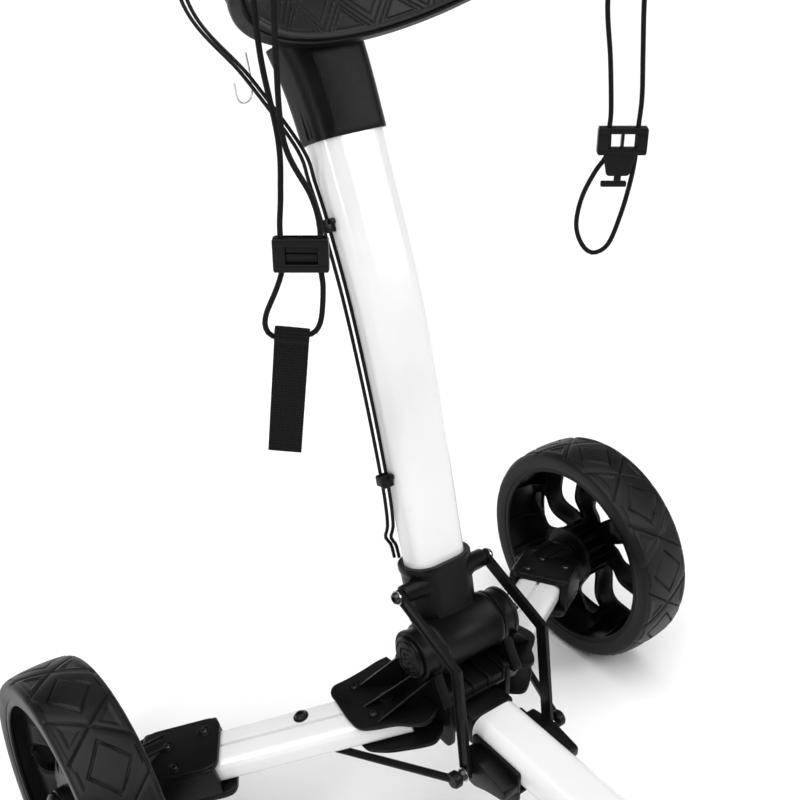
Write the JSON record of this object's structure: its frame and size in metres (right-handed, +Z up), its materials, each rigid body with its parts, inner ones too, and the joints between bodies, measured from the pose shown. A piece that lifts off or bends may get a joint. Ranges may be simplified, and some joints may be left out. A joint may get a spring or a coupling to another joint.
{
  "type": "golf push cart",
  "caption": "Three-wheel golf push cart: gloss mast, one-motion folding knuckle with links and tie rods, bag cradles, bungee straps, wheel brake.",
  "frame": {"origin": "on the ground, under the middle of the cart's bounding box", "axes": "+Z up, -Y towards the front wheel, +X towards the cart's left"},
  "size_m": [0.7044, 1.1478, 1.1154],
  "materials": {
    "white_gloss_paint": "gloss white powder coat on aluminium tube",
    "tyre_foam_rubber": "matt black foam tyre with a moulded tread",
    "pad_rubber": "matt black moulded rubber",
    "zinc_steel": "zinc plated steel",
    "black_bolt": "black oxide steel",
    "black_metal": "satin black coated steel",
    "cable_jacket": "smooth black cable jacket",
    "braided_cord": "black braided elastic cord",
    "nylon_webbing": "black woven nylon webbing",
    "grip_foam": "matt black foam grip",
    "black_plastic": "black glass filled nylon, lightly grained"
  },
  "bodies": {
    "chassis": {"knuckle": "black_plastic", "fold_axle": "zinc_steel", "front_arm_pin": "zinc_steel", "axle_cap_left": "black_plastic", "axle_cap_right": "black_plastic", "side_bracket_left": "black_plastic", "side_bracket_right": "black_plastic", "lower_plate_left": "black_plastic", "lower_plate_right": "black_plastic", "arm_pin_left": "zinc_steel", "arm_pin_right": "zinc_steel"},
    "mast": {"mast_sleeve": "black_plastic", "mast_tube": "white_gloss_paint", "link_bolt_left": "black_bolt", "link_bolt_right": "black_bolt", "upper_collar": "black_plastic", "upper_cradle": "black_plastic", "cradle_pad": "pad_rubber", "stem_tube": "white_gloss_paint", "stem_head": "black_plastic", "cable_clip_upper": "black_plastic", "cable_clip_lower": "black_plastic", "brake_cable_left": "cable_jacket", "brake_cable_right": "cable_jacket", "bungee_cord_left": "braided_cord", "bungee_cord_right": "braided_cord", "slider_buckle": "black_plastic", "hook_buckle": "black_plastic", "webbing_tab": "nylon_webbing"},
    "front_arm": {"front_arm_tube": "white_gloss_paint", "front_root": "black_metal", "front_bracket": "black_metal", "front_fork": "black_plastic", "front_axle": "zinc_steel", "lower_cradle": "black_plastic"},
    "front_wheel": {"front_wheel_rim": "black_plastic", "front_wheel_tyre": "tyre_foam_rubber"},
    "handle": {"handle_yoke": "black_plastic", "handle_grip": "grip_foam"},
    "brake_lever": {"brake_lever": "black_plastic"},
    "link_left": {"link_left": "black_metal", "link_pin_left": "black_bolt"},
    "rear_arm_left": {"arm_tube_left": "white_gloss_paint", "end_bracket_left": "black_plastic", "rear_axle_left": "zinc_steel"},
    "tie_rod_left": {"tie_rod_left": "black_metal"},
    "wheel_left": {"wheel_left_rim": "black_plastic", "wheel_left_tyre": "tyre_foam_rubber", "hub_cap_left": "black_plastic"},
    "brake_pin_left": {"brake_pin_left": "zinc_steel"},
    "link_right": {"link_right": "black_metal", "link_pin_right": "black_bolt"},
    "rear_arm_right": {"arm_tube_right": "white_gloss_paint", "end_bracket_right": "black_plastic", "rear_axle_right": "zinc_steel"},
    "tie_rod_right": {"tie_rod_right": "black_metal"},
    "wheel_right": {"wheel_right_rim": "black_plastic", "wheel_right_tyre": "tyre_foam_rubber", "hub_cap_right": "black_plastic"},
    "brake_pin_right": {"brake_pin_right": "zinc_steel"}
  },
  "joints": [
    {"name": "mast_fold", "type": "hinge", "parent": "chassis", "child": "mast", "pos_m": [0, 0.05912, 0.259], "axis": [1, 0, 0], "range_deg": [0, 88]},
    {"name": "front_arm_fold", "type": "hinge", "parent": "chassis", "child": "front_arm", "pos_m": [0, 0.04612, 0.18], "axis": [1, 0, 0], "range_deg": [0, 76.3]},
    {"name": "rear_arm_left_fold", "type": "hinge", "parent": "chassis", "child": "rear_arm_left", "pos_m": [0.065, 0.07312, 0.1888], "axis": [0.2232, 0.1429, 0.9642], "range_deg": [0, 50.01]},
    {"name": "tie_rod_left_swing", "type": "hinge", "parent": "rear_arm_left", "child": "tie_rod_left", "pos_m": [0.12822, 0.12548, 0.16641], "axis": [0.2232, 0.1429, 0.9642], "range_deg": [-19.03, 0]},
    {"name": "link_left_swing", "type": "hinge", "parent": "mast", "child": "link_left", "pos_m": [0.0475, 0.08212, 0.311], "axis": [1, 0, 0], "range_deg": [-42.5, 0]},
    {"name": "wheel_left_spin", "type": "hinge", "parent": "rear_arm_left", "child": "wheel_left", "pos_m": [0.3177, 0.20112, 0.13], "axis": [1, 0, 0], "continuous": true},
    {"name": "rear_arm_right_fold", "type": "hinge", "parent": "chassis", "child": "rear_arm_right", "pos_m": [-0.065, 0.07312, 0.1888], "axis": [-0.2232, 0.1429, 0.9642], "range_deg": [-50.01, 0]},
    {"name": "tie_rod_right_swing", "type": "hinge", "parent": "rear_arm_right", "child": "tie_rod_right", "pos_m": [-0.12822, 0.12548, 0.16641], "axis": [-0.2232, 0.1429, 0.9642], "range_deg": [0, 19.03]},
    {"name": "link_right_swing", "type": "hinge", "parent": "mast", "child": "link_right", "pos_m": [-0.0475, 0.08212, 0.311], "axis": [1, 0, 0], "range_deg": [-42.5, 0]},
    {"name": "wheel_right_spin", "type": "hinge", "parent": "rear_arm_right", "child": "wheel_right", "pos_m": [-0.3177, 0.20112, 0.13], "axis": [1, 0, 0], "continuous": true},
    {"name": "front_wheel_spin", "type": "hinge", "parent": "front_arm", "child": "front_wheel", "pos_m": [0, -0.45888, 0.115], "axis": [1, 0, 0], "continuous": true},
    {"name": "handle_tilt", "type": "hinge", "parent": "mast", "child": "handle", "pos_m": [0, 0.41312, 1.01], "axis": [1, 0, 0], "range_deg": [-35, 30]},
    {"name": "brake_lever_press", "type": "hinge", "parent": "handle", "child": "brake_lever", "pos_m": [0, 0.48266, 1.05345], "axis": [1, 0, 0], "range_deg": [0, 18], "stiffness_Nm_per_rad": 1, "springref_deg": -8.59},
    {"name": "brake_pin_left_slide", "type": "slide", "parent": "rear_arm_left", "child": "brake_pin_left", "axis": [1, 0, 0], "range_m": [0, 0.0071]},
    {"name": "brake_pin_right_slide", "type": "slide", "parent": "rear_arm_right", "child": "brake_pin_right", "axis": [-1, 0, 0], "range_m": [0, 0.0071]}
  ],
  "couplings": [
    {"joint": "front_arm_fold", "follows": "mast_fold", "ratio": 0.86694},
    {"joint": "rear_arm_left_fold", "follows": "mast_fold", "ratio": 0.56818},
    {"joint": "tie_rod_left_swing", "follows": "mast_fold", "ratio": -0.21614},
    {"joint": "link_left_swing", "follows": "mast_fold", "ratio": -0.48289},
    {"joint": "rear_arm_right_fold", "follows": "mast_fold", "ratio": -0.56818},
    {"joint": "tie_rod_right_swing", "follows": "mast_fold", "ratio": 0.21614},
    {"joint": "link_right_swing", "follows": "mast_fold", "ratio": -0.48289},
    {"joint": "brake_pin_left_slide", "follows": "brake_lever_press", "m_per_rad": 0.022282},
    {"joint": "brake_pin_right_slide", "follows": "brake_lever_press", "m_per_rad": 0.022282}
  ]
}
